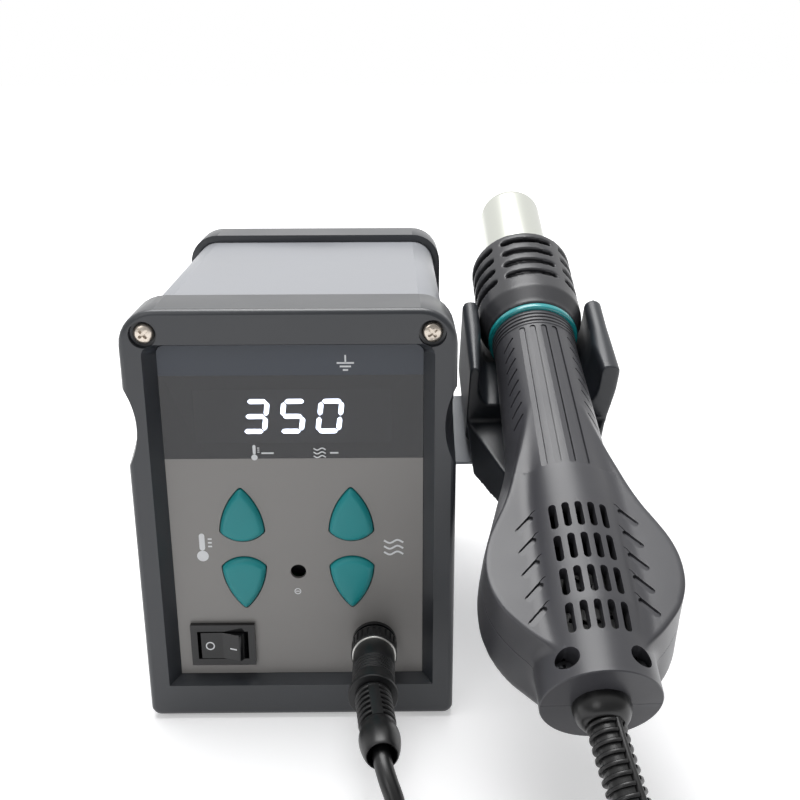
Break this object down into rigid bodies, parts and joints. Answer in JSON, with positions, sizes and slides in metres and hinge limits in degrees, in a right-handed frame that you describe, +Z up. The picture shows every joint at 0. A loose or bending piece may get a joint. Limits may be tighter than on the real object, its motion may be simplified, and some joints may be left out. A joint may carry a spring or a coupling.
{
  "type": "hot air rework station",
  "caption": "Bench hot air rework station: box unit with sunk control panel and display, side holder, and a fan handle with heater tube on a plug-in cord.",
  "frame": {"origin": "on the bench, under the centre of the bench unit's footprint", "axes": "+Z up, -Y out of the front panel, +X to the right as seen from the front, towards the holder"},
  "size_m": [0.1644, 0.2884, 0.1554],
  "materials": {
    "painted_sleeve": "satin",
    "frame_plastic": "fine texture",
    "sleeve_back": "satin",
    "black_plastic": "matt",
    "strip": "satin",
    "smoked_window": "gloss",
    "figures": "lit",
    "control_metal": "satin",
    "board_green": "gloss",
    "trimmer_blue": "gloss",
    "brass": "satin",
    "black_gloss": "gloss",
    "teal_rubber": "matt",
    "teal_ring": "gloss",
    "zinc": "bright",
    "black_rubber": "matt",
    "board_parts": "mixed",
    "core_steel": "dull",
    "coil_tape": "gloss",
    "screw_steel": "bright",
    "bracket_paint": "satin",
    "holder_plastic": "fine texture",
    "shell_plastic": "fine texture",
    "dark_screw": "dark",
    "collar_plastic": "fine texture",
    "tube_steel": "bright",
    "mica": "matt",
    "heater_wire": "dull",
    "reed_glass": "gloss"
  },
  "bodies": {
    "base": {"sleeve": "painted_sleeve", "front_frame": "frame_plastic", "rear_frame": "frame_plastic", "back_plate": "sleeve_back", "panel_carrier": "black_plastic", "header_strip": "strip", "display_window": "smoked_window", "display_figures": "figures", "display_module": "black_plastic", "control_plate": "control_metal", "front_board": "board_green", "tact_switches": "black_plastic", "trimmer_body": "trimmer_blue", "switch_frame": "black_gloss", "panel_socket": "black_plastic", "socket_nut": "zinc", "plug_shell": "black_plastic", "plug_boot": "black_rubber", "main_board": "board_green", "board_parts": "board_parts", "transformer_core": "core_steel", "transformer_coil": "coil_tape", "mains_inlet": "black_gloss", "inlet_pins": "zinc", "feet": "black_rubber", "front_screws": "screw_steel", "rear_screws": "screw_steel", "bracket": "bracket_paint", "bracket_screws": "screw_steel", "holder": "holder_plastic", "holder_screws": "screw_steel", "holder_magnet": "zinc", "cord_front_run": "black_rubber", "cord_coil": "black_rubber", "cord_back_run": "black_rubber"},
    "rocker": {"switch_rocker": "black_gloss"},
    "temp_up": {"button_temp_up": "teal_rubber"},
    "temp_down": {"button_temp_down": "teal_rubber"},
    "air_up": {"button_air_up": "teal_rubber"},
    "air_down": {"button_air_down": "teal_rubber"},
    "trimmer": {"trimmer_rotor": "brass"},
    "coupling": {"coupling_ring": "black_plastic"},
    "handle": {"shell_front": "shell_plastic", "shell_back": "shell_plastic", "shell_screws": "dark_screw", "grip_ring": "teal_ring", "head_collar": "collar_plastic", "heater_tube": "tube_steel", "heater_former": "mica", "heater_coil": "heater_wire", "fan_motor": "zinc", "reed_switch": "reed_glass", "tail_relief": "black_rubber"},
    "fan": {"fan_wheel": "black_plastic"}
  },
  "joints": [
    {"name": "rocker_tilt", "type": "hinge", "parent": "base", "child": "rocker", "pos_m": [-0.0254, -0.0632, 0.0258], "axis": [0, 0, 1], "range_deg": [0, 20]},
    {"name": "temp_up_press", "type": "slide", "parent": "base", "child": "temp_up", "axis": [0, 1, 0], "range_m": [0, 0.0008], "stiffness_N_per_m": 400},
    {"name": "temp_down_press", "type": "slide", "parent": "base", "child": "temp_down", "axis": [0, 1, 0], "range_m": [0, 0.0008], "stiffness_N_per_m": 400},
    {"name": "air_up_press", "type": "slide", "parent": "base", "child": "air_up", "axis": [0, 1, 0], "range_m": [0, 0.0008], "stiffness_N_per_m": 400},
    {"name": "air_down_press", "type": "slide", "parent": "base", "child": "air_down", "axis": [0, 1, 0], "range_m": [0, 0.0008], "stiffness_N_per_m": 400},
    {"name": "trimmer_turn", "type": "hinge", "parent": "base", "child": "trimmer", "pos_m": [0, -0.0616, 0.0519], "axis": [0, 1, 0], "range_deg": [-135, 135]},
    {"name": "coupling_turn", "type": "hinge", "parent": "base", "child": "coupling", "pos_m": [0.0242, -0.075, 0.0262], "axis": [0, -1, 0], "range_deg": [0, 1080]},
    {"name": "handle_lift", "type": "slide", "parent": "base", "child": "handle", "axis": [0.0087, -0.4146, 0.91], "range_m": [0, 0.06]},
    {"name": "fan_spin", "type": "hinge", "parent": "handle", "child": "fan", "pos_m": [0.08373, -0.09839, 0.06603], "axis": [0.0087, -0.4146, 0.91], "continuous": true}
  ]
}
